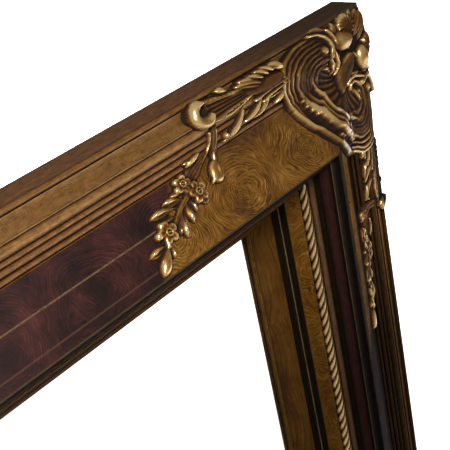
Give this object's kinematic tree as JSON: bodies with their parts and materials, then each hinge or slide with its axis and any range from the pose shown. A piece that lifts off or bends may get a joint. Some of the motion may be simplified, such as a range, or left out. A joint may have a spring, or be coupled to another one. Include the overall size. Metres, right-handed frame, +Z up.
{
  "type": "cheval floor mirror",
  "caption": "Tall rectangular floor mirror in a wide gilded moulding with carved corner ornament, swinging on clamp pivots between two turned posts on splayed legs.",
  "frame": {"origin": "on the floor, midway between the two posts and between the front and back feet", "axes": "+Z up; the glass faces -Y at rest; +X to the right seen from the front; the tilt axis is parallel to X"},
  "size_m": [0.9482, 0.5378, 1.6665],
  "materials": {
    "gilt_moulding": "antiqued gold leaf, swirled faux burl and burgundy glaze over wood, satin varnish",
    "gilt_slip": "darkened gold leaf on wood, satin",
    "gilt_rope": "gilded carved wood, rubbed bright on the high spots",
    "gilt_ornament": "cast composition, gilded, dark umber wash in the hollows, polished highlights",
    "mirror_glass": "silvered float glass with a ground edge",
    "plywood_back": "bare plywood",
    "dark_walnut": "dark stained wood, satin varnish, antique gold on the turned rings",
    "antique_brass": "aged brass",
    "steel_fasteners": "zinc plated",
    "felt_washer": "pressed felt",
    "rubber_glide": "matt black rubber"
  },
  "bodies": {
    "stand": {"post_left": "dark_walnut", "post_right": "dark_walnut", "finial_left": "dark_walnut", "finial_right": "dark_walnut", "leg_front_left": "dark_walnut", "leg_front_right": "dark_walnut", "leg_back_left": "dark_walnut", "leg_back_right": "dark_walnut", "stretcher": "dark_walnut", "stretcher_bolt_left": "antique_brass", "stretcher_bolt_right": "antique_brass", "pivot_washer_left": "felt_washer", "pivot_washer_right": "felt_washer", "pivot_rosette_left": "antique_brass", "pivot_rosette_right": "antique_brass", "glide_front_left": "rubber_glide", "glide_front_right": "rubber_glide", "glide_back_left": "rubber_glide", "glide_back_right": "rubber_glide"},
    "mirror": {"frame_rail_top": "gilt_moulding", "frame_rail_bottom": "gilt_moulding", "frame_stile_left": "gilt_moulding", "frame_stile_right": "gilt_moulding", "inner_slip_top": "gilt_slip", "inner_slip_bottom": "gilt_slip", "inner_slip_left": "gilt_slip", "inner_slip_right": "gilt_slip", "rope_bead_top": "gilt_rope", "rope_bead_bottom": "gilt_rope", "rope_bead_left": "gilt_rope", "rope_bead_right": "gilt_rope", "corner_cartouche_top_left": "gilt_ornament", "corner_cartouche_top_right": "gilt_ornament", "corner_cartouche_bottom_left": "gilt_ornament", "corner_cartouche_bottom_right": "gilt_ornament", "rail_spray_top_left": "gilt_ornament", "stile_spray_top_left": "gilt_ornament", "rail_spray_top_right": "gilt_ornament", "stile_spray_top_right": "gilt_ornament", "rail_spray_bottom_left": "gilt_ornament", "stile_spray_bottom_left": "gilt_ornament", "rail_spray_bottom_right": "gilt_ornament", "stile_spray_bottom_right": "gilt_ornament", "mirror_glass": "mirror_glass", "back_panel": "plywood_back", "back_screw_1": "steel_fasteners", "back_screw_2": "steel_fasteners", "back_screw_3": "steel_fasteners", "back_screw_4": "steel_fasteners", "back_screw_5": "steel_fasteners", "back_screw_6": "steel_fasteners", "back_screw_7": "steel_fasteners", "back_screw_8": "steel_fasteners", "pivot_boss_left": "antique_brass", "pivot_boss_right": "antique_brass", "pivot_stud_left": "steel_fasteners", "pivot_stud_right": "steel_fasteners"},
    "knob_left": {"clamp_knob_left": "antique_brass"},
    "knob_right": {"clamp_knob_right": "antique_brass"}
  },
  "joints": [
    {"name": "mirror_tilt", "type": "hinge", "parent": "stand", "child": "mirror", "pos_m": [0, 0, 0.962], "axis": [1, 0, 0], "range_deg": [-35, 30]},
    {"name": "knob_left_turn", "type": "hinge", "parent": "mirror", "child": "knob_left", "pos_m": [-0.44, 0, 0.962], "axis": [-1, 0, 0], "range_deg": [0, 270]},
    {"name": "knob_right_turn", "type": "hinge", "parent": "mirror", "child": "knob_right", "pos_m": [0.44, 0, 0.962], "axis": [1, 0, 0], "range_deg": [0, 270]}
  ]
}
